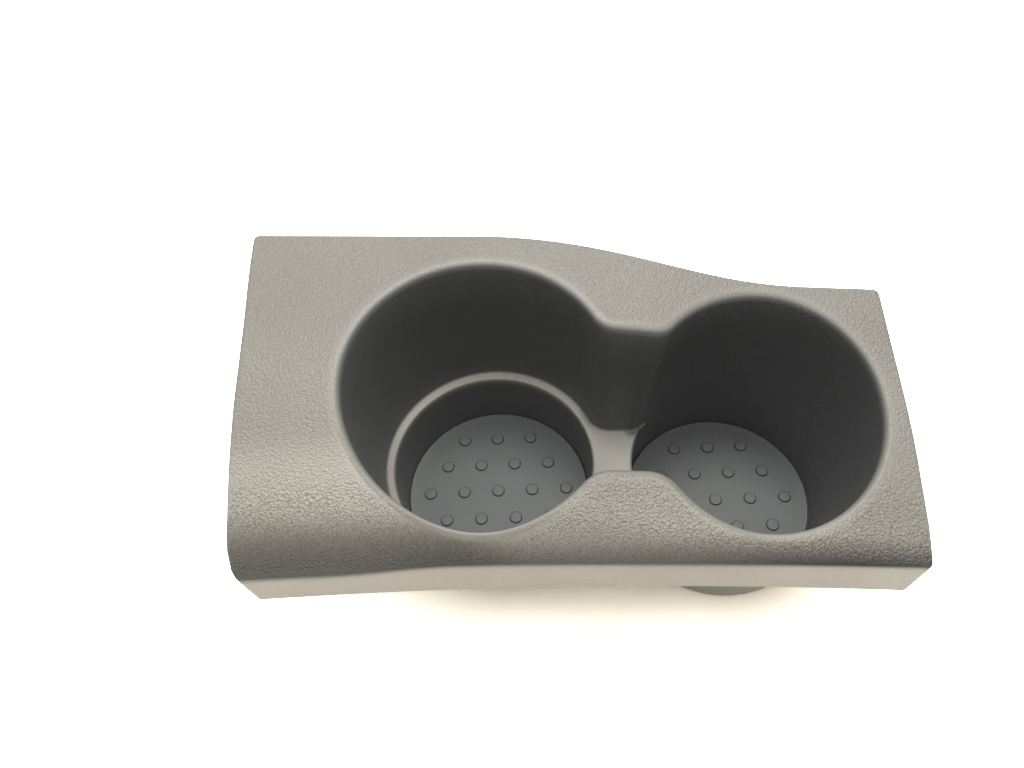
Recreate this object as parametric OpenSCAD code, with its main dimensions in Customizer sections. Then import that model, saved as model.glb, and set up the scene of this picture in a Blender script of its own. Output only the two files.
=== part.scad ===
// Double cup holder insert for a car console: one moulding with two wells and a neck
// between them, and a loose round rubber mat in the bottom of each well.

/* [Panel] */
// distance from the left well's axis to the left end, at the back
left_end = 80.6; // [76:0.2:86]
// how far the left end is hollowed towards the middle, behind the front shoulder
left_end_lean = 2.5; // [0:0.1:4]
// distance from the left well's axis to the right end, where it reaches furthest
right_end = 138.8; // [135:0.2:146]
// how much shorter the right end is at its front corner
right_end_pinch = 0.8; // [0:0.1:2]
// how far the right end leans towards the middle at the back
right_end_lean = 3.8; // [0:0.1:5]
// distance from the wells' line to the back edge beside the left well
back_left = 59.5; // [54:0.2:64]
// distance from the wells' line to the back edge beside the right well
back_right = 38.7; // [37:0.2:42]
// where the back edge starts to step forward
step_start = 0; // [-5:1:10]
// where the back edge has stepped forward
step_end = 109; // [100:1:120]
// distance from the wells' line to the front edge at the ends
front_edge = 53; // [52:0.2:58]
// how far the front edge is hollowed in the middle
front_hollow = 2.2; // [0:0.1:3]
// thickness of the panel and its flanges
panel_wall = 2.4; // [2.2:0.1:3]
// depth of the flange under the back edge and the ends
flange_depth = 11; // [6:0.5:16]
// radius of the panel's corners seen from above
corner_r = 2.5; // [1:0.5:4]
// fall of the back edge towards the front, for each mm of length
back_fall = 0.02; // [0:0.005:0.03]
// rounding of the panel's outer edge
edge_r = 1.2; // [0.6:0.1:2]
// rounding of the front crease
crease_r = 0.8; // [0.4:0.1:1.5]

/* [Top surface] */
// height of the top surface over the left well's axis
left_height = 92.6; // [90:0.2:98]
// fall of the left part towards the right, for each mm
left_fall = 0.038; // [0:0.002:0.06]
// rise of the left part towards the back, for each mm
left_rise = 0.058; // [0.02:0.002:0.08]
// distance in front of which the left part curves down
curve_start = 20; // [10:1:30]
// how fast the left part curves down to the front
curve_rate = 0.00345; // [0.002:0.00005:0.004]
// height of the top surface over the right well's rim centre
right_height = 76.4; // [74:0.2:80]
// fall of the right part towards the right, for each mm
right_fall = 0.082; // [0.04:0.002:0.1]
// rise of the right part towards the back, for each mm
right_rise = 0.231; // [0.18:0.002:0.26]
// where the left surface starts to turn into the right one
blend_start = 5; // [0:1:15]
// where it has become the right one
blend_end = 90; // [80:1:100]
// width of the rolled front shoulder
roll_width = 16; // [10:0.5:20]
// height of the front crease between shoulder and skirt, beside the left well
crease_height = 62.7; // [60:0.2:66]
// how much lower the crease lies at the left end
crease_drop = 5.2; // [0:0.1:7]
// how much lower the crease lies in front of the right well
crease_fall = 2.1; // [0:0.1:4]
// height of the skirt's lower edge in the middle
skirt_z = 40.5; // [38:0.5:46]
// how much lower the skirt's lower edge lies at the ends
skirt_arch = 2.5; // [0:0.1:5]
// how far the skirt leans in at its lower edge
skirt_lean = 1; // [0:0.1:3]

/* [Left well] */
// radius of the left rim, 60 mm above the ledge
rim_left_r = 44.9; // [43:0.1:47]
// radius of the upper chamber at the ledge
ledge_outer_r = 40.1; // [39:0.1:42]
// radius of the lower chamber at the ledge
ledge_inner_r = 36.9; // [36.4:0.1:38]
// height of the ledge
ledge_z = 35.6; // [30:0.2:44]
// height of the left floor
floor_left_z = 9.2; // [6:0.2:14]
// radius of the left well at its floor
floor_left_r = 35.3; // [34.5:0.1:36.2]
// wall of both wells, also the thickness of their floors
well_wall = 2.3; // [1.8:0.1:2.8]

/* [Right well] */
// distance between the wells' axes at the bottom
pitch = 85.6; // [84:0.2:88]
// how far the right well's bottom lies in front of the left one's axis
right_front = 3; // [0:0.2:5]
// height of the right floor
floor_right_z = 3.3; // [3:0.1:6]
// radius of the right well at its floor
floor_right_r = 35.7; // [35.5:0.1:37]
// radius of the right rim
rim_right_r = 38.9; // [37:0.1:40]
// lean of the right well's axis to the right
lean_right = 4.9; // [0:0.1:6]
// lean of the right well's axis to the front
lean_front = 1.1; // [0:0.1:3]

/* [Neck] */
// half width of the neck to the back, at the rim
neck_back = 20.2; // [16:0.2:24]
// half width of the neck to the front, at the rim
neck_front = 25.4; // [20:0.2:28]
// how much narrower each side is at the neck's floor
neck_taper = 8; // [4:0.2:10]
// plan radius of the corners between the neck and the wells, at the back
neck_corner_r = 9; // [6:0.5:12]
// plan radius of the same corners at the front
nose_corner_r = 14; // [9:0.5:16]
// rounding of the lip that runs round both wells and the neck
lip_r = 2.6; // [1.5:0.1:3.5]

/* [Mats] */
// gap between the left mat and the wall round it, on the radius
left_mat_gap = 0.3; // [0.2:0.05:0.8]
// gap between the right mat and the wall round it, on the radius
right_mat_gap = 0.7; // [0.3:0.05:1]
// thickness of each mat under its pips
mat_t = 1.5; // [1:0.1:2.5]
// chamfer round the top edge of a mat
mat_chamfer = 0.6; // [0.3:0.1:0.9]
// distance between the pips
pip_pitch = 13.45; // [12:0.05:14]
// radius of a pip at its foot
pip_r = 2.35; // [1.8:0.05:2.6]
// height of a pip
pip_h = 0.6; // [0.3:0.1:1]
// how far the mats are turned in their wells
mat_turn = 1.5; // [0:0.5:30]

/* [Underside] */
// radius of the posts under the panel's corners
post_r = 4.2; // [3.8:0.1:5]
// length of the posts below the top surface
post_length = 14; // [11:1:16]
// radius of the locating pin on each post
pin_r = 2.5; // [2:0.1:3]
// length of the locating pins
pin_length = 10; // [6:0.5:12]
// thickness of the gussets between the wells and the panel
gusset_t = 1.8; // [1.2:0.1:2.2]
// depth of the gussets along the wells' walls
gusset_depth = 16; // [10:1:20]
// height of the foot ring under the right floor
foot_h = 1; // [0.6:0.1:1.5]

/* [Hidden] */
$fn = 96;
eps = 0.01;
cross = 0.2;
turn_steps = 6;
well_tan = (rim_left_r - ledge_outer_r) / 60;
right_tan = (rim_right_r - floor_right_r) / (right_height - floor_right_z);
sky = max(left_height, right_height) + 20;
lean_x = tan(lean_right);
lean_y = -tan(lean_front);
rim_x = pitch + lean_x * (right_height - floor_right_z);
rim_y = -right_front + lean_y * (right_height - floor_right_z);
mid_x = (right_end - left_end) / 2;
mid_y = (back_left - front_edge) / 2;
inset = 10.6;
posts = [[-left_end + inset + 1.4, back_left - inset], [-left_end + inset + 1.4, -front_edge + 15],
    [right_end - inset + 1.1, back_right - inset], [right_end - inset + 2.1, -front_edge + 12.5]];

function ease(t) = let (c = max(0, min(1, t))) c * c * (3 - 2 * c);

// The top surface

function top_left(x, y) = left_height - left_fall * x + left_rise * y
    - curve_rate * pow(max(0, curve_start - y), 2);
function top_right(x, y) = right_height - right_fall * (x - rim_x)
    + right_rise * (y - rim_y);
function top_free(x, y) = let (s = ease((x - blend_start) / (blend_end - blend_start)))
    (1 - s) * top_left(x, y) + s * top_right(x, y);
function along(x) = (x - mid_x) / ((right_end + left_end) / 2);
function front_y(x) = -front_edge + front_hollow * (1 - min(1, pow(along(x), 2)));
function crease_z(x) = crease_height - crease_drop * (1 - ease((x + 50) / 40))
    - crease_fall * ease((x + 10) / 80);
function skirt_low(x) = skirt_z - skirt_arch * min(1, pow(along(x), 2));
function roll_w(x) = roll_width * (1 - 0.45 * ease((x + 10) / 90));
function rolled(x, y) = let (t = max(0, min(1, (y - front_y(x)) / roll_w(x))))
    pow(1 - t, 2.2);
function top(x, y) = top_free(x, y)
    - max(0.4, top_free(x, front_y(x)) - crease_z(x)) * rolled(x, y);

// The panel's outline seen from above

function back_y(x) = back_left - back_fall * (x + left_end)
    - (back_left - back_right - back_fall * (right_end + left_end))
    * ease((x - step_start) / (step_end - step_start));
function end_x(y) = right_end - right_end_lean * ease((y + 20) / 70)
    - right_end_pinch * (1 - ease((y + front_edge) / 14));
function start_x(y) = -left_end + left_end_lean * (ease((back_left - y) / 55)
    - ease((15 - front_edge - y) / 13));
// a point of the outline moved in by w, square to the edges it lies on
function inward(o, w) = [min(max(o[0], start_x(o[1]) + w), end_x(o[1]) - w),
    min(max(o[1], front_y(o[0]) + w), back_y(o[0]) - w)];

// The outline of the opening at height z, as points with their outward normals

function left_r(z) = ledge_outer_r + well_tan * (z - ledge_z);
function right_r(z) = floor_right_r + right_tan * (z - floor_right_z);
function right_c(z) = [pitch + lean_x * (z - floor_right_z),
    -right_front + lean_y * (z - floor_right_z)];
function neck_y(z, side) = (side > 0 ? neck_back : neck_front)
    - neck_taper * (side > 0 ? (88 - z) / 52 : (78 - z) / 42);
// corner circle beside the left well, side 1 at the back and -1 at the front
function corner_left(z, side, t, r) = let (yc = side * (neck_y(z, side) + t + r),
    q = left_r(z) + t + r - cross)
    [sqrt(q * q - yc * yc), yc];
function corner_right(z, side, t, r) = let (yc = side * (neck_y(z, side) + t + r),
    q = right_r(z) + t + r - cross, c = right_c(z))
    [c[0] - sqrt(q * q - pow(yc - c[1], 2)), yc];

// half of the neck's outline on one side, from the left well to the right well
function neck_side(z, side, t) = let (r = (side > 0 ? neck_corner_r : nose_corner_r) - t,
    a = corner_left(z, side, t, r),
    b = corner_right(z, side, t, r), c = right_c(z),
    a0 = atan2(-a[1], -a[0]), b0 = atan2(c[1] - b[1], c[0] - b[0]), down = -90 * side)
    concat(
        [for (i = [0:turn_steps]) let (g = span(a0, down) * i / turn_steps + a0)
            [a[0] + r * cos(g), a[1] + r * sin(g), -cos(g), -sin(g)]],
        [for (i = [0:turn_steps]) let (g = span(down, b0) * i / turn_steps + down)
            [b[0] + r * cos(g), b[1] + r * sin(g), -cos(g), -sin(g)]]);
function span(a, b) = let (d = b - a) d > 180 ? d - 360 : d < -180 ? d + 360 : d;

// the neck as a loft from z0 to z1
module neck(z0, z1, t) {
    levels = 6;
    ring = function (z) concat(
        [[20, neck_side(z, 1, t)[0][1]]], [for (p = neck_side(z, 1, t)) [p[0], p[1]]],
        [[pitch - 14, neck_side(z, 1, t)[2 * turn_steps + 1][1]],
        [pitch - 14, neck_side(z, -1, t)[2 * turn_steps + 1][1]]],
        [for (i = [2 * turn_steps + 1:-1:0]) let (p = neck_side(z, -1, t)[i]) [p[0], p[1]]],
        [[20, neck_side(z, -1, t)[0][1]]]);
    n = len(ring(z0));
    pts = [for (k = [0:levels]) let (z = z0 + (z1 - z0) * k / levels)
        each [for (p = ring(z)) [p[0], p[1], z]]];
    sides = [for (k = [0:levels - 1], j = [0:n - 1]) let (a = k * n + j, b = k * n + (j + 1) % n)
        each [[a, b, a + n], [b, b + n, a + n]]];
    cap = [for (i = [0:n / 2 - 2]) each [[i, i + 1, n - 1 - i], [i + 1, n - 2 - i, n - 1 - i]]];
    polyhedron(pts, concat([for (c = cap) [c[0], c[2], c[1]]],
        [for (c = cap) [for (v = c) v + levels * n]],
        sides), convexity = 6);
}

// The panel as one closed skin: it starts at the lip round the opening, runs over the top
// surface to the outline, down the flange or the skirt, and back underneath to the lip.
// Each station is [part of the rim, place on it, outline x, outline y].

function corner(x, y, dx, dy) = [[x, y + corner_r * dy],
    [x + 0.29 * corner_r * dx, y + 0.29 * corner_r * dy], [x + corner_r * dx, y]];
function flip(v) = [for (i = [len(v) - 1:-1:0]) v[i]];
function left_outline() = let (yb = back_y(-left_end), yf = front_y(-left_end)) concat(
    [for (i = [0:9]) let (x = 6 - i * (left_end + 2) / 10) [x, front_y(x)]],
    flip(corner(start_x(yf), yf, 1, 1)),
    [for (i = [1:12]) let (y = yf + (yb - yf) * i / 13) [start_x(y), y]],
    corner(start_x(yb), yb, 1, -1),
    [for (i = [7:-1:0]) let (x = -i * (left_end - 5) / 8) [x, back_y(x)]]);
function right_outline() = let (yb = back_y(right_end - right_end_lean), yf = front_y(right_end))
    concat(
    [for (i = [0:5]) let (x = rim_x + i * (right_end - right_end_lean - 5 - rim_x) / 5)
        [x, back_y(x)]],
    flip(corner(end_x(yb), yb, -1, -1)),
    [for (i = [1:12]) let (y = yb + (yf - yb) * i / 13) [end_x(y), y]],
    corner(end_x(yf), yf, -1, 1),
    [for (i = [5:-1:0]) let (x = rim_x + 2 + i * (right_end - 5 - rim_x - 2) / 5) [x, front_y(x)]]);
last = 2 * turn_steps + 1;
function left_angle(side) = let (q = neck_side(80, side, 0)[0]) atan2(q[1], q[0]);
function right_angle(side) = let (q = neck_side(80, side, 0)[last], c = right_c(80))
    atan2(q[1] - c[1], q[0] - c[0]);
function rim_point(s, z) = s[0] == 0
    ? [left_r(z) * cos(s[1]), left_r(z) * sin(s[1]), cos(s[1]), sin(s[1])]
    : s[0] == 1 ? let (c = right_c(z))
        [c[0] + right_r(z) * cos(s[1]), c[1] + right_r(z) * sin(s[1]), cos(s[1]), sin(s[1])]
    : neck_side(z, s[0] == 2 ? 1 : -1, 0)[s[1]];
function above(s) = let (p = rim_point(s, 80)) [s[0], s[1], p[0],
    s[0] == 3 || (s[0] < 2 && p[1] < -5) ? front_y(p[0]) : back_y(p[0])];
stations = concat(
    [for (i = [1:9]) above([0, 90 + (left_angle(1) - 90) * i / 10])],
    [for (i = [0:last]) above([2, i])],
    [for (i = [1:6]) above([1, right_angle(1) + (90 - right_angle(1)) * i / 7])],
    [for (o = right_outline()) [1, atan2(o[1] - rim_y, o[0] - rim_x), o[0], o[1]]],
    [for (i = [1:6]) above([1, -90 + (right_angle(-1) + 90) * i / 7])],
    [for (i = [last:-1:0]) above([3, i])],
    [for (i = [1:8]) above([0, left_angle(-1) + (-84 - left_angle(-1)) * i / 9])],
    [for (o = left_outline()) [0, atan2(o[1], o[0]), o[0], o[1]]]);

function settle(s, z, n) = let (p = rim_point(s, z)) n == 0 ? z : settle(s, top(p[0], p[1]), n - 1);
// height of the lower edge under an outline point: skirt in front, flange elsewhere
function edge_z(o) = let (t = ease((o[1] - front_y(o[0]) - 1) / 20))
    (1 - t) * skirt_low(o[0]) + t * (top(o[0], o[1]) - flange_depth);
// rounding of the outer edge: small on the crease, larger elsewhere
function edge(o) = crease_r + (edge_r - crease_r) * ease((o[1] - front_y(o[0]) - 0.5) / 8);
function skin_point(p, drop) = [p[0], p[1], top(p[0], p[1]) - drop];
function skin_section(s) = let (
    z = settle(s, 80, 5), zl = z - lip_r, p = rim_point(s, z), q = rim_point(s, zl),
    low = rim_point(s, zl - 1.5), n = [p[2], p[3]],
    a = [q[0] - 0.25 * n[0], q[1] - 0.25 * n[1], zl],
    c = [p[0], p[1], z],
    bp = [p[0], p[1]] + lip_r * n,
    b = skin_point(bp, 0),
    o = [s[2], s[3]], e = inward(o, edge(o)), in = inward(o, panel_wall),
    ze = top(o[0], o[1]), zb = edge_z(o),
    lean = [0, o[1] < front_y(o[0]) + 5 ? skirt_lean : 0],
    up = [p[0], p[1]] + 1.2 * n)
    concat(
    [[low[0] - 0.25 * n[0], low[1] - 0.25 * n[1], zl - 1.5]],
    [for (k = [0:3]) let (t = k / 4) (1 - t) * (1 - t) * a + 2 * t * (1 - t) * c + t * t * b],
    [for (k = [0:5]) skin_point(bp + (e - bp) * k / 5, 0)],
    [[(o[0] * 0.7 + e[0] * 0.3), (o[1] * 0.7 + e[1] * 0.3), ze - 0.3 * edge(o)]],
    [[o[0], o[1], ze - edge(o)]],
    [[o[0] + lean[0], o[1] + lean[1], zb]],
    [[in[0] + lean[0], in[1] + lean[1], zb]],
    [[in[0], in[1], top(in[0], in[1]) - panel_wall]],
    [for (k = [3:-1:1]) skin_point(bp + (in - bp) * k / 4, panel_wall)],
    [[up[0], up[1], z - panel_wall - 0.4]],
    [[low[0] + 1.2 * n[0], low[1] + 1.2 * n[1], zl - 1.5]]);

module skin() {
    rows = [for (s = stations) skin_section(s)];
    m = len(rows[0]);
    count = len(rows);
    pts = [for (r = rows) each r];
    faces = [for (i = [0:count - 1], j = [0:m - 1])
        let (k = (i + 1) % count, l = (j + 1) % m)
        each [[i * m + j, i * m + l, k * m + j], [i * m + l, k * m + l, k * m + j]]];
    polyhedron(pts, faces, convexity = 10);
}

// A block that ends inside the skin's thickness and trims what stands under it

module block() {
    nu = 14;
    nv = 12;
    half = panel_wall / 2;
    x0 = -left_end + left_end_lean + half;
    x1 = right_end - right_end_lean - half;
    grid = [for (i = [0:nu], j = [0:nv]) let (x = x0 + (x1 - x0) * i / nu,
        y0 = front_y(x) + half,
        y = y0 + (back_y(x) - half - y0) * pow(j / nv, 1.5)) [x, y]];
    n = (nu + 1) * (nv + 1);
    pts = concat([for (g = grid) [g[0], g[1], top(g[0], g[1]) - 0.35 * panel_wall]],
        [for (g = grid) [g[0], g[1], -2]]);
    w = nv + 1;
    cells = [for (i = [0:nu - 1], j = [0:nv - 1]) let (a = i * w + j)
        each [[a, a + 1, a + w], [a + 1, a + w + 1, a + w]]];
    edge = concat([for (i = [0:nu - 1]) [i * w, (i + 1) * w]],
        [for (j = [0:nv - 1]) [nu * w + j, nu * w + j + 1]],
        [for (i = [nu:-1:1]) [i * w + nv, (i - 1) * w + nv]],
        [for (j = [nv:-1:1]) [j, j - 1]]);
    polyhedron(pts, concat(cells, [for (c = cells) [c[0] + n, c[2] + n, c[1] + n]],
        [for (e = edge) each [[e[0], e[1], e[0] + n], [e[1], e[1] + n, e[0] + n]]]), convexity = 8);
}

// The wells

module left_space(t) {
    h = sky - ledge_z + t;
    translate([0, 0, ledge_z - t])
        cylinder(h = h, r1 = ledge_outer_r + t - well_tan * t,
            r2 = ledge_outer_r + t + well_tan * (h - t));
    low_tan = (ledge_inner_r - floor_left_r) / (ledge_z - floor_left_z);
    translate([0, 0, floor_left_z - t])
        cylinder(h = ledge_z - floor_left_z + t, r1 = floor_left_r + t - low_tan * t,
            r2 = ledge_inner_r + t);
}

module right_space(t) {
    low = 12;
    h = sky - floor_right_z + low;
    difference() {
        translate([pitch, -right_front, floor_right_z])
            rotate([lean_front, lean_right, 0])
                translate([0, 0, -low])
                    cylinder(h = h, r1 = floor_right_r + t - right_tan * low,
                        r2 = floor_right_r + t + right_tan * (h - low));
        translate([pitch - 60, -60, floor_right_z - t - 40])
            cube([120, 120, 40]);
    }
}

// Foot ring round a well's floor, from the table up into the floor

module foot(outer, inner, high, open) {
    difference() {
        cylinder(h = high, r = outer);
        translate([0, 0, -1]) cylinder(h = open + 1, r = inner);
    }
}

// Three-cornered stiffener under the panel: it starts inside the wall of a well at (x, y),
// runs out in direction a, is deepest at the wall and ends under the panel

module gusset(x, y, a, reach) {
    foot_x = x + reach * cos(a);
    foot_y = y + reach * sin(a);
    z = min(top(x + 6 * cos(a), y + 6 * sin(a)), top(foot_x, foot_y));
    translate([x, y, 0])
        rotate([90, 0, a])
            translate([0, 0, -gusset_t / 2])
                linear_extrude(gusset_t)
                    polygon([[-1, z - panel_wall - gusset_depth], [reach, z - panel_wall - 1],
                        [reach, z + 10], [-1, z + 10]]);
}

module under() {
    foot(floor_left_r + 0.2, floor_left_r - 2, floor_left_z - eps, floor_left_z - well_wall);
    translate([pitch, -right_front, 0])
        foot(floor_right_r + 1.4, floor_right_r - 1.2, floor_right_z - eps, foot_h);
    for (p = posts)
        translate([p[0], p[1], top(p[0], p[1]) - post_length])
            cylinder(h = post_length + 3, r = post_r);
    for (a = [90, 150, 180, 210])
        gusset((rim_left_r + 0.5) * cos(a), (rim_left_r + 0.5) * sin(a), a, a == 90 ? 8 : 22);
    gusset(rim_x, rim_y + rim_right_r + 0.5, 90, 5);
}

module pins() {
    for (p = posts)
        translate([p[0], p[1], top(p[0], p[1]) - post_length - pin_length])
            cylinder(h = pin_length + 2, r = pin_r);
}

module cup_holder() {
    color("#8f8b83")
    translate([-mid_x, -mid_y, 0])
    difference() {
        union() {
            skin();
            intersection() {
                union() {
                    left_space(well_wall);
                    right_space(well_wall);
                    neck(ledge_z - well_wall, sky, well_wall);
                    under();
                }
                block();
            }
            pins();
        }
        left_space(0);
        right_space(0);
        neck(ledge_z, sky + 2, 0);
    }
}

module mat(r) {
    cylinder(h = mat_t - mat_chamfer, r = r);
    translate([0, 0, mat_t - mat_chamfer])
        cylinder(h = mat_chamfer, r1 = r, r2 = r - mat_chamfer);
    rotate([0, 0, mat_turn])
        for (row = [-2:2], i = [0:4 - abs(row)])
            translate([(i - (4 - abs(row)) / 2) * pip_pitch, row * pip_pitch * sin(60), mat_t - 0.2])
                cylinder(h = pip_h + 0.2, r1 = pip_r, r2 = pip_r - 0.35);
}

module left_mat() {
    color("#5d6162")
    translate([-mid_x, -mid_y, floor_left_z])
        mat(floor_left_r - left_mat_gap);
}

module right_mat() {
    color("#5d6162")
    translate([pitch - mid_x, -right_front - mid_y, floor_right_z])
        mat(floor_right_r - right_mat_gap);
}

cup_holder();
left_mat();
right_mat();
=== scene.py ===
import math

import bmesh
import bpy
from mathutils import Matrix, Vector


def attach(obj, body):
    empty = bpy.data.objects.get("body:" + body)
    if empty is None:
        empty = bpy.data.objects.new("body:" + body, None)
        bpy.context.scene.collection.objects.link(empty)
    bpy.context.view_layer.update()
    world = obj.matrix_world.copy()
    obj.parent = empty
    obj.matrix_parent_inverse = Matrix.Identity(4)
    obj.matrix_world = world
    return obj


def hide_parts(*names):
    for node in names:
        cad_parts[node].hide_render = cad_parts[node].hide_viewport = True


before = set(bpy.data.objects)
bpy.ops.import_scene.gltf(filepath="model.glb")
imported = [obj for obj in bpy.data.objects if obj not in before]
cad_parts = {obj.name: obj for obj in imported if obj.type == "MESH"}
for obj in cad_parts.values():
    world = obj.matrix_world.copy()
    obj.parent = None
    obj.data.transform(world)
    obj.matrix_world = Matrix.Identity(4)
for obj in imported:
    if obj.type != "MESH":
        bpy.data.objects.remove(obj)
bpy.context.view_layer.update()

bl_info = {
    "name": "Car cup holder",
    "version": (1, 0, 0),
    "blender": (4, 5, 0),
    "location": "View3D > Sidebar > Cup holder",
    "description": "Builds the double cup holder insert, its two mats and a plain stage",
    "category": "Object",
}

MM = 0.001
QUARTER = math.pi / 2


# Outline of the moulding in plan, in millimetres from the left well's axis

LEFT_END = 80.6
LEFT_LEAN = 2.5
RIGHT_END = 138.8
END_LEAN = 3.8
END_PINCH = 0.8
BACK_LEFT = 59.5
BACK_RIGHT = 38.7
BACK_FALL = 0.02
FRONT = -53.0
FRONT_BOW = 2.2
CORNER_R = 2.5
MID_X = 29.1
MID_Y = 3.25


# Walls, edges and roundings

PANEL_WALL = 2.4
WELL_WALL = 2.3
FLANGE = 11.0
SKIRT_LOW = 40.5
SKIRT_BOW = 2.5
ROLL_WIDTH = 16
LIP_R = 2.8
LEDGE_FILLET = 1.2
HIDDEN_DROP = 1.1
APART = 0.002


# Wells, with the height at which their rims are read in plan

RIM_Z = 80.0
LEFT_TOP_Z = 92.6
LEFT_RIM_R = 44.9
LEDGE_Z = 35.6
LEDGE_OUT = 40.1
LEDGE_IN = 36.9
FLOOR_LEFT_Z = 9.2
FLOOR_LEFT_R = 35.3
PITCH = 85.6
RIGHT_FRONT = 3.0
RIGHT_TOP_Z = 76.4
RIGHT_RIM_R = 38.9
FLOOR_RIGHT_Z = 3.3
FLOOR_RIGHT_R = 35.7
FLOOR_WALL = 2.28
WELL_TAN = (LEFT_RIM_R - LEDGE_OUT) / 60.0
RIGHT_TAN = (RIGHT_RIM_R - FLOOR_RIGHT_R) / (RIGHT_TOP_Z - FLOOR_RIGHT_Z)
LEAN_X = math.tan(math.radians(4.9))
LEAN_Y = -math.tan(math.radians(1.1))
RIM_X = PITCH + LEAN_X * (RIGHT_TOP_Z - FLOOR_RIGHT_Z)
RIM_Y = -RIGHT_FRONT + LEAN_Y * (RIGHT_TOP_Z - FLOOR_RIGHT_Z)


# Neck sides: half width at the top, height of the top, depth of the narrowing, corner radius

NECK_BACK = (20.2, 88.0, 52.0, 9.0)
NECK_FRONT = (25.4, 78.0, 42.0, 14.0)
NECK_NARROWS = 8.0


# Rows of points in one section of the moulding

SIDE_STEPS = 5
EDGE_STEPS = 6
TOP_STEPS = 28
LIP_STEPS = 8
WALL_STEPS = 16
LEDGE_STEPS = 5


# Painted shade on the front roll, painted light on the skirt, the back a little darker, and how far the panel's
# colour runs down before the wells' painted shade

ROLL_PAINTED_SHADE = 0.91
SKIRT_PAINTED_LIGHT = 0.45
BACK_DARKER = 0.07
EDGE_LEATHER = 0.4
LIP_BACK = (1.0, 1.0, 0.95, 0.45, 0.04, 0.0, 0.0, 0.0)
LIP_FRONT = (1.0, 1.0, 1.0, 1.0, 0.95, 0.8, 0.5, 0.2)
LEDGE_ZONE = (0.1, 0.5, 0.8, 0.9, 0.9)
HIDDEN_ZONE = 0.1


# Shape of the moulding

def ease(t):
    t = max(0.0, min(1.0, t))
    return t * t * (3 - 2 * t)


def along(x):
    """Place along the moulding: -1 at its left end, 1 at its right end."""
    return (x - MID_X) / ((RIGHT_END + LEFT_END) / 2)


def front_y(x):
    return FRONT + FRONT_BOW * (1 - min(1.0, along(x) ** 2))


def back_y(x):
    step = BACK_LEFT - BACK_RIGHT - BACK_FALL * (RIGHT_END + LEFT_END)
    return BACK_LEFT - BACK_FALL * (x + LEFT_END) - step * ease(x / 109)


def end_x(y):
    return RIGHT_END - END_LEAN * ease((y + 20) / 70) - END_PINCH * (1 - ease((y - FRONT) / 14))


def start_x(y):
    return -LEFT_END + LEFT_LEAN * (ease((BACK_LEFT - y) / 55) - ease((-38 - y) / 13))


def top_free(x, y):
    """Height of the top without its front roll: a high left part that blends into a low right one."""
    left = LEFT_TOP_Z - 0.038 * x + 0.058 * y - 0.00345 * max(0.0, 20 - y) ** 2
    right = RIGHT_TOP_Z - 0.082 * (x - RIM_X) + 0.231 * (y - RIM_Y)
    s = ease((x - 5) / 85)
    return (1 - s) * left + s * right


def crease_z(x):
    return 62.7 - 5.2 * (1 - ease((x + 50) / 40)) - 2.1 * ease((x + 10) / 80)


def skirt_low(x):
    return SKIRT_LOW - SKIRT_BOW * min(1.0, along(x) ** 2)


def top(x, y):
    """Height of the top, which rolls down to the crease along the front."""
    width = ROLL_WIDTH * (1 - 0.45 * ease((x + 10) / 90))
    t = max(0.0, min(1.0, (y - front_y(x)) / width))
    return top_free(x, y) - max(0.4, top_free(x, front_y(x)) - crease_z(x)) * (1 - t) ** 2.2


def inward(o, w):
    x = min(max(o[0], start_x(o[1]) + w), end_x(o[1]) - w)
    return (x, min(max(o[1], front_y(x) + w), back_y(x) - w))


def left_r(z):
    return LEDGE_OUT + WELL_TAN * (z - LEDGE_Z)


def right_r(z):
    return FLOOR_RIGHT_R + RIGHT_TAN * (z - FLOOR_RIGHT_Z)


def right_c(z):
    return (PITCH + LEAN_X * (z - FLOOR_RIGHT_Z), -RIGHT_FRONT + LEAN_Y * (z - FLOOR_RIGHT_Z))


def neck_y(z, side):
    half, high, depth, _ = NECK_BACK if side > 0 else NECK_FRONT
    return half - NECK_NARROWS * (high - z) / depth


def neck_corners(z, side):
    """Centres of the two corner circles of the neck on one side, and their radius."""
    r = (NECK_BACK if side > 0 else NECK_FRONT)[3]
    y = side * (neck_y(z, side) + r)
    q = left_r(z) + r
    c = right_c(z)
    p = right_r(z) + r
    return (math.sqrt(q * q - y * y), y), (c[0] - math.sqrt(p * p - (y - c[1]) ** 2), y), r


def turned(a, b, t):
    d = (b - a + math.pi) % (2 * math.pi) - math.pi
    return a + d * t


def neck_point(z, side, t):
    """A point of the neck's outline from the left well (t 0) to the right one (t 3)."""
    a, b, r = neck_corners(z, side)
    c = right_c(z)
    down = -QUARTER * side
    if t <= 1:
        g = turned(math.atan2(-a[1], -a[0]), down, t)
        return (a[0] + r * math.cos(g), a[1] + r * math.sin(g), -math.cos(g), -math.sin(g))
    if t >= 2:
        g = turned(down, math.atan2(c[1] - b[1], c[0] - b[0]), t - 2)
        return (b[0] + r * math.cos(g), b[1] + r * math.sin(g), -math.cos(g), -math.sin(g))
    x = a[0] + (b[0] - a[0]) * (t - 1)
    return (x, side * neck_y(z, side), 0.0, float(side))


def rim_point(s, z):
    """A station's point on the wall at height z, with the direction that leads out of the well."""
    kind, v = s[0], s[1]
    if kind in ("left", "right"):
        c, r = ((0.0, 0.0), left_r(z)) if kind == "left" else (right_c(z), right_r(z))
        return (c[0] + r * math.cos(v), c[1] + r * math.sin(v), math.cos(v), math.sin(v))
    return neck_point(z, 1 if kind == "back" else -1, v)


def away(q, d, z):
    """The point at height z that lies d outside a rim point."""
    return (q[0] + d * q[2], q[1] + d * q[3], z)


def corner_points(x, y, dx, dy, n=6):
    """Rounded corner of the outline, from the end's side to the long side."""
    cx, cy = x + dx * CORNER_R, y + dy * CORNER_R
    out = []
    for i in range(n + 1):
        g = QUARTER * i / n
        out.append((cx - dx * CORNER_R * math.cos(g), cy - dy * CORNER_R * math.sin(g)))
    return out


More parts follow.
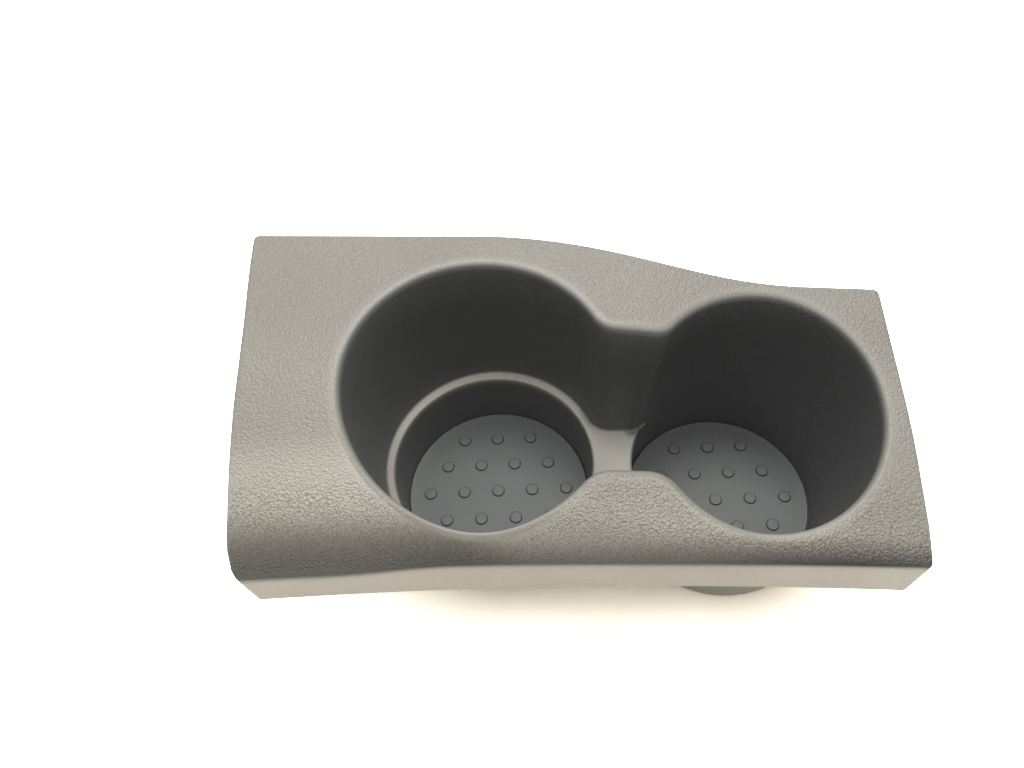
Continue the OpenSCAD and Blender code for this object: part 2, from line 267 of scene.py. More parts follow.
def end_points(xs, y0, y1):
    """Points of one end between its corners, where xs gives the end's x at y."""
    start, run = (y0 + CORNER_R, y1 - y0 - 2 * CORNER_R) if y1 > y0 else (y0 - CORNER_R, y1 - y0 + 2 * CORNER_R)
    return [(xs(y), y) for y in [start + run * i / 30 for i in range(1, 30)]]


def stations():
    """Places round the opening, each with the outline point that its section runs to."""
    def above(kind, v):
        p = rim_point((kind, v), RIM_Z)
        front = kind == "front" or (kind in ("left", "right") and p[1] < -5)
        return (kind, v, p[0], front_y(p[0]) if front else back_y(p[0]))

    def angle(side, t):
        p = neck_point(RIM_Z, side, t)
        c = (0.0, 0.0) if t == 0 else right_c(RIM_Z)
        return math.atan2(p[1] - c[1], p[0] - c[0])

    ts = [i / 12 for i in range(13)] + [1 + i / 5 for i in range(1, 5)] + [2 + i / 12 for i in range(13)]
    out = [above("left", QUARTER + (angle(1, 0) - QUARTER) * i / 20) for i in range(1, 20)]
    out += [above("back", t) for t in ts]
    out += [above("right", angle(1, 3) + (QUARTER - angle(1, 3)) * i / 14) for i in range(1, 14)]
    yb, yf = back_y(RIGHT_END - END_LEAN), front_y(RIGHT_END)
    xr, xn = end_x(yb), end_x(yf)
    pts = [(x, back_y(x)) for x in [RIM_X + i * (xr - 4 - RIM_X) / 12 for i in range(13)]]
    pts += corner_points(xr, yb, -1, -1)[::-1]
    pts += end_points(end_x, yb, yf)
    pts += corner_points(xn, yf, -1, 1)
    pts += [(x, front_y(x)) for x in [RIM_X + 1 + i * (xn - 4 - RIM_X - 1) / 12 for i in range(12, -1, -1)]]
    out += [("right", math.atan2(y - RIM_Y, x - RIM_X), x, y) for x, y in pts]
    out += [above("right", -QUARTER + (angle(-1, 3) + QUARTER) * i / 14) for i in range(1, 14)]
    out += [above("front", t) for t in reversed(ts)]
    a1 = angle(-1, 0)
    out += [above("left", a1 + (-QUARTER + 0.06 - a1) * i / 18) for i in range(1, 18)]
    yb, yf = back_y(-LEFT_END), front_y(-LEFT_END)
    xf, xb = start_x(yf), start_x(yb)
    pts = [(x, front_y(x)) for x in [3 + i * (xf + 3.5 - 3) / 26 for i in range(27)]]
    pts += corner_points(xf, yf, 1, 1)[::-1]
    pts += end_points(start_x, yf, yb)
    pts += corner_points(xb, yb, 1, -1)
    pts += [(x, back_y(x)) for x in [i * (xb + 3.5) / 26 for i in range(26, -1, -1)]]
    out += [("left", math.atan2(y, x), x, y) for x, y in pts]
    return out


def below_ledge(s):
    """True where the right well's wall goes on below the level of the ledge."""
    return s[0] == "right" or (s[0] in ("back", "front") and s[1] == 3)


def settle(s):
    """Height at which a station's wall meets the top."""
    z = RIM_Z
    for _ in range(6):
        p = rim_point(s, z)
        z = top(p[0], p[1])
    return z


def mix(a, b, t):
    return tuple(a[i] + (b[i] - a[i]) * t for i in range(3))


def bezier(a, c, b, t):
    return tuple((1 - t) ** 2 * a[i] + 2 * t * (1 - t) * c[i] + t * t * b[i] for i in range(3))


# Painted light and shade, and depth of the grain

def painted_shading_at(p):
    """Painted light and shade on the plastic: 1 on the top, painted shade where the roll steepens, a band of painted
    light above it, a little darker towards the back, painted light on the skirt.
    """
    depth = max(0.0, p[1] - front_y(p[0]))
    left = 1 - ease((p[0] + 10) / 25)
    roll = 9.0 + 6.0 * left + 4 * ease((p[0] - 60) / 50)
    dark = ROLL_PAINTED_SHADE * (1 - ease((depth + 2) / roll))
    light = 0.25 + 0.31 * left - 0.19 * ease((p[0] - 90) / 30)
    band = light * ease((depth - 5 * left) / 9) * (1 - ease((depth - 14 - 8 * left) / (14 + 4 * left)))
    skirt = (SKIRT_PAINTED_LIGHT + dark) * (1 - ease(depth / 0.6))
    return 1.0 - dark + band - BACK_DARKER * ease(p[1] / 25) + skirt


def leather_at(p):
    """How deep the leather grain is: deepest on the front, softer on the top, none along the crease."""
    depth = max(0.0, p[1] - front_y(p[0]))
    return (0.6 + 0.9 * (1 - ease((depth - 14) / 16))) * (0.25 + 0.75 * ease((depth - 0.8) / 2))


def ledge_painted_light(up):
    """Painted light on the ledge's edge: lighter at the back, where it catches the sky."""
    return 0.9 + 1.3 * ease(up + 0.15)


# Section of the moulding: rows of a seen point, a hidden point, a share of the panel's colour against the wells'
# painted shade, and some painted light and shade and a grain

def side_rows(o, e, inner, edge):
    """The skirt or the flange, and the rounded edge between it and the top."""
    ze, under = top(*o), top(*inner) - PANEL_WALL
    back = ease((o[1] - front_y(o[0]) - 1) / 20)
    low = (1 - back) * skirt_low(o[0]) + back * (ze - FLANGE)
    lean = 1.0 if o[1] < front_y(o[0]) + 5 else 0.0
    # painted shade on the front roll and painted light on the skirt for this station
    tone = painted_shading_at(o)
    rows = []
    for i in range(SIDE_STEPS + 1):
        t = i / SIDE_STEPS
        z, out = low + (ze - edge - low) * t, lean * (1 - t)
        rows.append(((o[0], o[1] + out, z), (inner[0], inner[1] + out, min(z, under)), 1.0, tone, EDGE_LEATHER))
    a, c, b = (o[0], o[1], ze - edge), (o[0], o[1], ze), (e[0], e[1], top(*e))
    for i in range(1, EDGE_STEPS):
        p = bezier(a, c, b, i / EDGE_STEPS)
        rows.append((p, (inner[0], inner[1], under + APART * i), 1.0,
                     tone + (painted_shading_at(p) - tone) * i / EDGE_STEPS, EDGE_LEATHER))
    return rows


def top_rows(e, inner, p):
    """The top surface, from its edge to the foot of the lip."""
    foot = away(p, LIP_R, 0.0)
    behind = away((foot[0], foot[1], p[2], p[3]), 0.4, 0.0)
    rows = []
    for i in range(TOP_STEPS + 1):
        t = (i / TOP_STEPS) ** 1.6
        x, y = e[0] + (foot[0] - e[0]) * t, e[1] + (foot[1] - e[1]) * t
        ix, iy = inner[0] + (behind[0] - inner[0]) * t, inner[1] + (behind[1] - inner[1]) * t
        near = math.hypot(x - p[0], y - p[1])
        # a painted highlight along the foot of the lip
        lip_highlight = 0.05 * (1 - ease((near - 2.5) / 3))
        rows.append(((x, y, top(x, y)), (ix, iy, top(ix, iy) - PANEL_WALL - 2 * APART * i), 1.0,
                     painted_shading_at((x, y)) + lip_highlight, leather_at((x, y)) * (0.4 + 0.6 * ease((near - LIP_R) / 1.5))))
    return rows


def lip_rows(s, p, z, hidden):
    """The rounded lip, from the top down into the well; hidden is the last point behind the top."""
    foot = away(p, LIP_R, 0.0)
    low = rim_point(s, z - LIP_R)
    a, c, b = (foot[0], foot[1], top(foot[0], foot[1])), (p[0], p[1], z), (low[0], low[1], z - LIP_R)
    last = away(low, WELL_WALL, z - LIP_R - 1.2)
    # painted light on the lip, lighter at the back and on the front of each well; the panel colour runs further down
    # the front lip than the back one, the rest being the wells' painted shade
    back = ease(0.5 + p[3])
    lip_light = 0.84 + 0.18 * back + (0.2 * ease(-2 * p[3] - 1) if s[0] in ("left", "right") else 0.0)
    rows = []
    for i in range(1, LIP_STEPS + 1):
        t = i / LIP_STEPS
        rows.append((bezier(a, c, b, t), mix(hidden, last, t),
                     back * LIP_BACK[i - 1] + (1 - back) * LIP_FRONT[i - 1], lip_light,
                     leather_at(a) * max(0.0, 0.4 - 0.1 * i)))
    return rows


def wall_rows(s, z, hidden_z):
    """The wall from the lip down to the fillet of the ledge."""
    z0, z1 = z - LIP_R, LEDGE_Z + LEDGE_FILLET
    rows = []
    for i in range(1, WALL_STEPS + 1):
        zz = z0 + (z1 - z0) * i / WALL_STEPS
        zo = hidden_z + (LEDGE_Z - HIDDEN_DROP - hidden_z) * i / WALL_STEPS
        rows.append((away(rim_point(s, zz), 0.0, zz), away(rim_point(s, zo), WELL_WALL, zo), 0.0))
    return rows


def ledge_rows(s):
    """The fillet between wall and ledge, or the wall's last piece where there is no ledge."""
    shown = 1 - ease((s[1] - 1.8) / 0.5) if s[0] == "back" else 1.0
    rows = []
    for i in range(1, LEDGE_STEPS + 1):
        t = i / LEDGE_STEPS
        zo = LEDGE_Z - HIDDEN_DROP - 1.2 * t
        qo = rim_point(s, zo)
        if below_ledge(s):
            zz = LEDGE_Z + LEDGE_FILLET * (1 - t)
            rows.append((away(rim_point(s, zz), 0.0, zz), away(qo, WELL_WALL, zo), 0.0))
        else:
            g = QUARTER * t
            zz = LEDGE_Z + LEDGE_FILLET * (1 - math.sin(g))
            q = rim_point(s, zz)
            # painted light on the ledge's edge, and painted shade where the neck's back edge runs out
            lit = (ledge_painted_light(q[3] if s[0] == "left" else 0.0) - 1) * shown - 0.7 * (1 - shown)
            rows.append((away(q, -LEDGE_FILLET * (1 - math.cos(g)), zz), away(qo, WELL_WALL * (1 - 0.04 * i), zo),
                         LEDGE_ZONE[i - 1] * shown, 1.0 + 0.2 * i * lit))
    return rows


def section(s):
    """One section, from the lower edge of the skirt or flange over the top and the lip to the ledge."""
    o = (s[2], s[3])
    edge = 0.7 + 0.6 * ease((o[1] - front_y(o[0]) - 0.5) / 8)
    e, inner = inward(o, edge), inward(o, PANEL_WALL)
    z = settle(s)
    p = rim_point(s, z)
    rows = side_rows(o, e, inner, edge) + top_rows(e, inner, p)
    rows += lip_rows(s, p, z, rows[-1][1])
    return rows + wall_rows(s, z, rows[-1][1][2]) + ledge_rows(s)


# Moulding, one closed shell: seen side, hidden side and the edge between

def placed(p):
    """A point in millimetres from the left well's axis, in the frame's metres."""
    return ((p[0] - MID_X) * MM, (p[1] - MID_Y) * MM, p[2] * MM)


def circle(c, r, z, g):
    return (c[0] + r * math.cos(g), c[1] + r * math.sin(g), z)


class Shell:
    """A mesh in which every seen point and face has a hidden one behind it."""

    def __init__(self):
        self.bm = bmesh.new()
        layers = self.bm.verts.layers.float
        self.zone, self.tone, self.leather = layers.new("zone"), layers.new("tone"), layers.new("leather")
        self.pairs = {}

    def add(self, seen, hidden, zone, tone=1.0, leather=0.0):
        v, h = self.bm.verts.new(placed(seen)), self.bm.verts.new(placed(hidden))
        # the hidden side takes mostly the wells' darker colour, painted shade
        v[self.zone], h[self.zone] = zone, HIDDEN_ZONE
        v[self.tone], h[self.tone] = tone, 1.0
        v[self.leather] = leather
        self.pairs[v] = h
        return v

    def face(self, *vs):
        self.bm.faces.new(vs)
        self.bm.faces.new([self.pairs[v] for v in reversed(vs)])

    def strip(self, a, b):
        for i in range(len(a)):
            j = (i + 1) % len(a)
            self.face(a[i], a[j], b[j], b[i])

    def fan(self, ring, centre):
        for i in range(len(ring)):
            self.face(ring[i], ring[(i + 1) % len(ring)], centre)


def right_well(shell, base):
    """The right well below the ledge, from its wall points down; returns its edge towards the neck."""
    edge_soft, floor_soft = 1.1, 1.5
    c = right_c(LEDGE_Z)
    walls = [math.atan2(v.co.y / MM + MID_Y - c[1], v.co.x / MM + MID_X - c[0]) for v in base]
    a0, a1 = walls[-1], walls[0] - 2 * math.pi
    arcs = [a0 + (a1 - a0) * i / 25 for i in range(1, 25)]
    angles = walls + arcs

    def around(r_add, z, gs):
        return [circle(right_c(z), right_r(z) + r_add, z, g) for g in gs]

    edge = []
    for i, (p, q) in enumerate(zip(around(edge_soft, LEDGE_Z, arcs), around(WELL_WALL, LEDGE_Z, arcs))):
        # painted light along the ledge's edge towards the right well, dimmed to painted shade at both ends
        k = ease((min(i, 23 - i) - 2) / 3)
        edge.append(shell.add(p, (q[0], q[1], LEDGE_Z - WELL_WALL), 0.9 * k, 0.3 + 0.75 * k))
    ring = base + edge
    zs = [LEDGE_Z - edge_soft * (1 - math.cos(QUARTER * i / 4)) for i in range(1, 5)]
    zs += [LEDGE_Z - edge_soft - (LEDGE_Z - edge_soft - FLOOR_RIGHT_Z - floor_soft) * i / 10 for i in range(1, 11)]
    for i, z in enumerate(zs):
        extra = edge_soft * (1 - math.sin(QUARTER * (i + 1) / 4)) if i < 4 else 0.0
        zo = LEDGE_Z - WELL_WALL - (LEDGE_Z - WELL_WALL - FLOOR_RIGHT_Z + 0.6) * (i + 1) / len(zs)
        seen = around(0, z, walls) + around(extra, z, arcs)
        row = []
        for k, (p, q) in enumerate(zip(seen, around(WELL_WALL, zo, angles))):
            # the first rows under that edge keep some panel colour, softening the turn into the wall's painted shade
            lit = len(walls) + 3 < k < len(walls) + 20
            row.append(shell.add(p, q, max(0.0, 0.6 - 0.2 * i) if lit else 0.0))
        shell.strip(ring, row)
        ring = row
    for i in range(1, 5):
        g = QUARTER * i / 4
        inset = floor_soft * (1 - math.cos(g))
        z, zo = FLOOR_RIGHT_Z + floor_soft * (1 - math.sin(g)), FLOOR_RIGHT_Z - 0.6 - 0.42 * i
        c, r = right_c(z), right_r(z)
        row = [shell.add(circle(c, r - inset, z, q), circle(c, r + 2.2 - 0.1 * i, zo, q), 0.0) for q in angles]
        shell.strip(ring, row)
        ring = row
    c = right_c(FLOOR_RIGHT_Z)
    shell.fan(ring, shell.add((c[0], c[1], FLOOR_RIGHT_Z), (c[0], c[1], FLOOR_RIGHT_Z - FLOOR_WALL), 0.0))
    return edge


def left_well(shell, n=128):
    """The left well below the ledge; returns its edge on the ledge."""
    edge_soft, floor_soft = 0.9, 1.2
    out = LEDGE_IN + 2.34
    profile = [(LEDGE_IN + edge_soft, LEDGE_Z, out, LEDGE_Z - WELL_WALL)]
    for i in range(1, 5):
        g = QUARTER * i / 4
        profile.append((LEDGE_IN + edge_soft * (1 - math.sin(g)), LEDGE_Z - edge_soft * (1 - math.cos(g)),
                        out - 0.01 * i, LEDGE_Z - WELL_WALL - 0.02 * i))
    for i in range(1, 9):
        t = (i / 8) ** 1.5
        r = LEDGE_IN + (FLOOR_LEFT_R - LEDGE_IN) * t
        profile.append((r, LEDGE_Z - edge_soft + (FLOOR_LEFT_Z + floor_soft - LEDGE_Z + edge_soft) * t,
                        r + WELL_WALL, LEDGE_Z - 2.4 + (FLOOR_LEFT_Z - LEDGE_Z + 2.4) * t))
    for i in range(1, 5):
        g = QUARTER * i / 4
        profile.append((FLOOR_LEFT_R - floor_soft * (1 - math.cos(g)), FLOOR_LEFT_Z + floor_soft * (1 - math.sin(g)),
                        FLOOR_LEFT_R + 2.28 - 0.1 * i, FLOOR_LEFT_Z - 0.57 * i))
    rings = []
    for r, z, ro, zo in profile:
        # painted light on the rounded inner edge of the ledge ring, lighter at the back; below it the panel colour
        # fades into the wells' painted shade
        zone = max(0.0, 0.9 - 0.28 * max(0.0, LEDGE_Z - 0.5 - z))
        lit = max(0.0, 1 - (LEDGE_Z - z) / 2.5)
        rings.append([shell.add(circle((0, 0), r, z, g), circle((0, 0), ro, zo, g), zone,
                                1 + (ledge_painted_light(math.sin(g)) - 1) * lit)
                      for g in [2 * math.pi * i / n for i in range(n)]])
        if len(rings) > 1:
            shell.strip(rings[-1], rings[-2])
    centre = shell.add((0, 0, FLOOR_LEFT_Z), (0, 0, FLOOR_LEFT_Z - FLOOR_WALL), 0.0)
    for i in range(n):
        shell.face(rings[-1][(i + 1) % n], rings[-1][i], centre)
    return rings[0]


def ledge_and_neck(shell, loop, hole):
    """The flat ledge and the neck's floor, filled between their outline and the left well's edge."""
    edges = []
    for ring in (loop, hole):
        for a, b in zip(ring, ring[1:] + ring[:1]):
            edges.append(shell.bm.edges.get((a, b)) or shell.bm.edges.new((a, b)))
    filled = bmesh.ops.triangle_fill(shell.bm, use_beauty=True, use_dissolve=False, edges=edges, normal=(0, 0, 1))
    faces = [f for f in filled["geom"] if isinstance(f, bmesh.types.BMFace)]
    if not faces:
        raise RuntimeError("the ledge was not filled")
    for f in faces:
        shell.bm.faces.new([shell.pairs[v] for v in reversed(f.verts[:])])


def build_moulding():
    shell = Shell()
    places = stations()
    grid = [[shell.add(*r) for r in section(s)] for s in places]
    for j in range(len(grid[0]) - 1):
        shell.strip([g[j] for g in grid], [g[j + 1] for g in grid])
    edge = [g[0] for g in grid]
    for v, w in zip(edge, edge[1:] + edge[:1]):
        shell.bm.faces.new((w, v, shell.pairs[v], shell.pairs[w]))
    low = [g[-1] for g in grid]
    deep = [i for i, s in enumerate(places) if below_ledge(s)]
    arc = right_well(shell, [low[i] for i in deep])
    hole = left_well(shell)
    ledge_and_neck(shell, low[deep[-1]:] + low[:deep[0] + 1] + arc[::-1], hole)
    shell_verts = set(shell.bm.verts)
    add_underside(shell.bm)
    for v in shell.bm.verts:
        if v not in shell_verts:
            # the underside parts take the same darker colour, painted shade
            v[shell.tone], v[shell.zone] = 1.0, HIDDEN_ZONE
    return shell.bm


# Underside: posts with their pins, stiffeners and foot rings, each a closed form of its own

POSTS = [(-LEFT_END + 12, BACK_LEFT - 10.6), (-LEFT_END + 12, -38.0),
         (RIGHT_END - 9.5, BACK_RIGHT - 10.6), (RIGHT_END - 8.5, -40.5)]
POST_R = 4.2
POST_DROP = 14
PIN_R = 2.5
PIN_LENGTH = 10
FOOT_LEFT = [(33.3, 7.6), (33.3, 0.3), (33.6, 0), (35.2, 0), (35.5, 0.3), (35.5, 7.6)]
FOOT_RIGHT = [(34.5, 1.6), (34.5, 0.25), (34.75, 0), (36.85, 0), (37.1, 0.25), (37.1, 1.6)]
RIB_SINK = 0.5


def bridge(bm, a, b, n):
    """Faces between two rings of n points, either of which may be one point on the axis."""
    for i in range(n):
        j = (i + 1) % n
        vs = [a[i % len(a)], a[j % len(a)], b[j % len(b)], b[i % len(b)]]
        bm.faces.new([v for k, v in enumerate(vs) if v is not vs[k - 1]])


def lathe(bm, c, profile, n, height=None):
    """A closed ring or solid of revolution; height(x, y) lowers the points that would stand proud."""
    rows = []
    for r, z in profile:
        row = []
        for i in range(n if r > 0 else 1):
            x, y, _ = circle(c, r, z, 2 * math.pi * i / n)
            row.append(bm.verts.new(placed((x, y, min(z, height(x, y)) if height else z))))
        rows.append(row)
    for a, b in zip(rows, rows[1:]):
        bridge(bm, a, b, n)
    if profile[0][0] > 0:
        bridge(bm, rows[-1], rows[0], n)


def stiffener(bm, x, y, a, reach):
    """Three-cornered rib from a well's wall out under the panel, in direction a."""
    ca, sa = math.cos(a), math.sin(a)
    z = min(top(x + 6 * ca, y + 6 * sa), top(x + reach * ca, y + reach * sa))
    half, soft = 0.9, 0.35
    rings = []
    for i in range(9):
        u, low = reach * i / 8, z - PANEL_WALL - 16 + 15 * i / 8
        px, py = x + u * ca, y + u * sa
        up = top(px, py) - (2.8 if u < 2 else 1.3)
        outline = [(-half, up), (-half, low + soft), (-half + soft, low + 0.02),
                   (half - soft, low + 0.02), (half, low + soft), (half, up)]
        rings.append([bm.verts.new(placed((px - v * sa, py + v * ca, h))) for v, h in outline])
    for p, q in zip(rings, rings[1:]):
        bridge(bm, p, q, 6)
    bm.faces.new(rings[0])
    bm.faces.new(rings[-1][::-1])


def add_underside(bm):
    def under(x, y):
        return top(x, y) - 1.3

    for x, y in POSTS:
        low = top(x, y) - POST_DROP
        high = low + POST_DROP - 1
        pin = low - PIN_LENGTH
        lathe(bm, (x, y), [(0, low), (POST_R - 0.4, low), (POST_R, low + 0.4), (POST_R, high), (0, high)], 40, under)
        lathe(bm, (x, y), [(0, pin), (PIN_R - 0.6, pin), (PIN_R, pin + 1), (PIN_R, low + 1), (0, low + 1)], 32)
    lathe(bm, (0, 0), FOOT_LEFT, 128)
    lathe(bm, (PITCH, -RIGHT_FRONT), FOOT_RIGHT, 128)
    rim = LEFT_RIM_R + RIB_SINK
    for degrees in (90, 150, 180, 210):
        g = math.radians(degrees)
        stiffener(bm, rim * math.cos(g), rim * math.sin(g), g, 8 if degrees == 90 else 22)
    stiffener(bm, RIM_X, RIM_Y + RIGHT_RIM_R + RIB_SINK, QUARTER, 5)


def finish_object(bm, name, sharp_angle, material=None):
    bmesh.ops.recalc_face_normals(bm, faces=bm.faces)
    me = bpy.data.meshes.new(name)
    bm.to_mesh(me)
    bm.free()
    me.shade_smooth()
    me.set_sharp_from_angle(angle=math.radians(sharp_angle))
    ob = bpy.data.objects.new(name, me)
    bpy.context.scene.collection.objects.link(ob)
    if material:
        me.materials.append(material)
    return ob


# Small helpers for materials: a value is another node's output, or a constant

def feed(nt, socket, value):
    if isinstance(value, bpy.types.NodeSocket):
        nt.links.new(value, socket)
    else:
        socket.default_value = value


def maths(nt, operation, *values, clamp=False):
    node = nt.nodes.new("ShaderNodeMath")
    node.operation, node.use_clamp = operation, clamp
    for socket, value in zip(node.inputs, values):
        feed(nt, socket, value)
    return node.outputs[0]


def mixed(nt, factor, a, b, blend="MIX"):
    node = nt.nodes.new("ShaderNodeMix")
    node.data_type, node.blend_type = "RGBA", blend
    for key, value in (("Factor", factor), ("A", a), ("B", b)):
        feed(nt, node.inputs[key], value)
    return node.outputs["Result"]


def ranged(nt, value, low, high, start=0.0, end=1.0, clamp=True, kind="LINEAR"):
    """A value that runs from start to end, turned into one from low to high."""
    node = nt.nodes.new("ShaderNodeMapRange")
    node.interpolation_type, node.clamp = kind, clamp
    for key, v in (("Value", value), ("From Min", start), ("From Max", end), ("To Min", low), ("To Max", high)):
        feed(nt, node.inputs[key], v)
    return node.outputs[0]


def noise(nt, vector, scale, detail, kind="FBM", output="Fac"):
    node = nt.nodes.new("ShaderNodeTexNoise")
    node.noise_type = kind
    for key, value in (("Vector", vector), ("Scale", scale), ("Detail", detail)):
        feed(nt, node.inputs[key], value)
    return node.outputs[output]


def attribute(nt, name):
    node = nt.nodes.new("ShaderNodeAttribute")
    node.attribute_name = name
    return node.outputs["Fac"]


def bumped(nt, bsdf, height, strength, distance):
    node = nt.nodes.new("ShaderNodeBump")
    for key, value in (("Height", height), ("Strength", strength), ("Distance", distance)):
        feed(nt, node.inputs[key], value)
    nt.links.new(node.outputs[0], bsdf.inputs["Normal"])


def times(colour, k):
    return (*[c * k for c in colour], 1)


def new_material(name):
    m = bpy.data.materials.new(name)
    m.use_nodes = True
    nt = m.node_tree
    nt.nodes.clear()
    out = nt.nodes.new("ShaderNodeOutputMaterial")
    return m, nt, out


def dusted(nt, co, colour, amount):
    """Adds a few specks of pale dust to a colour."""
    speck = nt.nodes.new("ShaderNodeTexVoronoi")
    speck.inputs["Scale"].default_value = 190.0
    nt.links.new(co, speck.inputs["Vector"])
    chance = nt.nodes.new("ShaderNodeSeparateColor")
    nt.links.new(speck.outputs["Color"], chance.inputs[0])
    small = maths(nt, "LESS_THAN", speck.outputs["Distance"], 0.032)
    few = maths(nt, "LESS_THAN", chance.outputs["Red"], amount)
    return mixed(nt, maths(nt, "MULTIPLY", small, few), colour, (0.36, 0.34, 0.3, 1))


# Materials

def grained_plastic(look):
    m, nt, out = new_material("grained_plastic")
    bsdf = nt.nodes.new("ShaderNodeBsdfPrincipled")
    nt.links.new(bsdf.outputs[0], out.inputs[0])
    co = nt.nodes.new("ShaderNodeTexCoord").outputs["Object"]
    zone, tone, leather = attribute(nt, "zone"), attribute(nt, "tone"), attribute(nt, "leather")
    # grain
    bend = nt.nodes.new("ShaderNodeVectorMath")
    bend.operation = "MULTIPLY_ADD"
    nt.links.new(noise(nt, co, 700.0, 2.0, output="Color"), bend.inputs[0])
    bend.inputs[1].default_value = (0.0011, 0.0011, 0.0011)
    nt.links.new(co, bend.inputs[2])
    folds = ranged(nt, noise(nt, bend.outputs[0], 820.0, 1.4, "RIDGED_MULTIFRACTAL"), 0.3, 0.78, end=1.2)
    pebble = nt.nodes.new("ShaderNodeTexVoronoi")
    pebble.feature = "SMOOTH_F1"
    pebble.inputs["Scale"].default_value = 1250.0
    pebble.inputs["Smoothness"].default_value = 0.35
    nt.links.new(bend.outputs[0], pebble.inputs["Vector"])
    knob = maths(nt, "MULTIPLY_ADD", pebble.outputs["Distance"], -0.9, folds)
    height = maths(nt, "MULTIPLY_ADD", noise(nt, co, 3000.0, 2.0), 0.22, knob)
    bumped(nt, bsdf, height, ranged(nt, leather, 0.1, look.grain, clamp=False), 0.0005)
    # colour: the panel colour, with a darker copy of it as painted shade in the wells and on the hidden side
    plain = mixed(nt, zone, times(look.well_shade_colour, 1), times(look.panel_colour, 1))
    patches = ranged(nt, noise(nt, co, 26.0, 4.0), 0.94, 1.06, 0.3, 0.7)
    # painted highlight on the grain's crests and painted shade in its pits
    grain_crest_shading = maths(nt, "MULTIPLY_ADD", maths(nt, "MULTIPLY", height, leather), 0.38, 0.98)
    mottled_and_grain_shaded = mixed(nt, 1.0, plain, maths(nt, "MULTIPLY", patches, grain_crest_shading), "MULTIPLY")
    # multiply in the painted light and shade that the mesh carries
    with_painted_shading = mixed(nt, 1.0, mottled_and_grain_shaded, tone, "MULTIPLY")
    nt.links.new(dusted(nt, co, with_painted_shading, 0.12), bsdf.inputs["Base Color"])
    nt.links.new(ranged(nt, height, 0.42, 0.58), bsdf.inputs["Roughness"])
    return m


def mat_rubber(look):
    m, nt, out = new_material("mat_rubber")
    bsdf = nt.nodes.new("ShaderNodeBsdfPrincipled")
    nt.links.new(bsdf.outputs[0], out.inputs[0])
    co = nt.nodes.new("ShaderNodeTexCoord").outputs["Object"]
    patch = noise(nt, co, 60.0, 5.0)
    plain = mixed(nt, patch, times(look.mat_colour, 0.85), times(look.mat_colour, 1.15))
    # a ring of painted shade round each pip's foot, and a painted highlight on the mat's rim
    ring = attribute(nt, "ring")
    pip_shaded = mixed(nt, ring, plain, times(look.mat_colour, 0.14))
    rim = maths(nt, "MULTIPLY", ring, -1.0, clamp=True)
    rim_highlighted = mixed(nt, rim, pip_shaded, times(look.mat_colour, 1.7))
    nt.links.new(dusted(nt, co, rim_highlighted, 0.3), bsdf.inputs["Base Color"])
    bumped(nt, bsdf, noise(nt, co, 1800.0, 2.0), 0.25, 0.0001)
    nt.links.new(ranged(nt, patch, 0.5, 0.7), bsdf.inputs["Roughness"])
    return m


# Table and sky

def table_top(look):
    """White table: it stays white for the camera apart from a painted contact shadow close to the part, and for all
    other rays it glows with warm painted light that stands in for its bounce.
    """
    m, nt, out = new_material("table_top")
    N, L = nt.nodes, nt.links
    path, near = N.new("ShaderNodeLightPath"), N.new("ShaderNodeAmbientOcclusion")
    seen, real, glow = N.new("ShaderNodeBsdfDiffuse"), N.new("ShaderNodeBsdfDiffuse"), N.new("ShaderNodeEmission")
    near.inputs["Distance"].default_value = 0.05
    # painted contact shadow close to the part, from ambient occlusion
    painted_shadow = mixed(nt, near.outputs["AO"], times(look.floor_contact_shadow, 1), times(look.floor_seen, 1))
    L.new(painted_shadow, seen.inputs["Color"])
    real.inputs["Color"].default_value = (*look.floor_colour, 1)
    glow.inputs["Color"].default_value = (*look.table_light, 1)
    both, pick = N.new("ShaderNodeAddShader"), N.new("ShaderNodeMixShader")
    L.new(real.outputs[0], both.inputs[0])
    L.new(glow.outputs[0], both.inputs[1])
    L.new(path.outputs["Is Camera Ray"], pick.inputs["Fac"])
    L.new(both.outputs[0], pick.inputs[1])
    L.new(seen.outputs[0], pick.inputs[2])
    L.new(pick.outputs[0], out.inputs["Surface"])
    return m


def soft_sky(look):
    """Plain white sky, brightest above and a little to the back, and weaker towards the horizon."""
    world = bpy.data.worlds.new("soft_sky")
    world.use_nodes = True
    nt = world.node_tree
    N, L = nt.nodes, nt.links
    co, dot = N.new("ShaderNodeTexCoord"), N.new("ShaderNodeVectorMath")
    dot.operation = "DOT_PRODUCT"
    dot.inputs[1].default_value = (0.0, math.sin(look.sky_lean), math.cos(look.sky_lean))
    L.new(co.outputs["Generated"], dot.inputs[0])
    fade = ranged(nt, dot.outputs["Value"], look.sky_low, look.sky_top, look.sky_width, kind="SMOOTHSTEP")
    sky = N["Background"]
    sky.inputs["Color"].default_value = (1, 1, 1, 1)
    path, pick = N.new("ShaderNodeLightPath"), N.new("ShaderNodeMix")
    L.new(path.outputs["Is Camera Ray"], pick.inputs["Factor"])
    L.new(fade, pick.inputs["A"])
    pick.inputs["B"].default_value = 1.0
    L.new(pick.outputs["Result"], sky.inputs["Strength"])
    return world


# Mats

MAT_TOP = 1.5
MAT_PROFILE = [(0, 0), (34.6, 0), (34.98, 0.25), (34.98, 1.7), (34.9, 1.92), (34.7, 2.0), (34.4, 1.96),
               (33.6, 1.72), (32.4, 1.55), (30.5, MAT_TOP), (0, MAT_TOP)]
MAT_RIM = (34.6, 34.95)
MAT_TURN = math.radians(1.5)
MAT_SHARP = 38


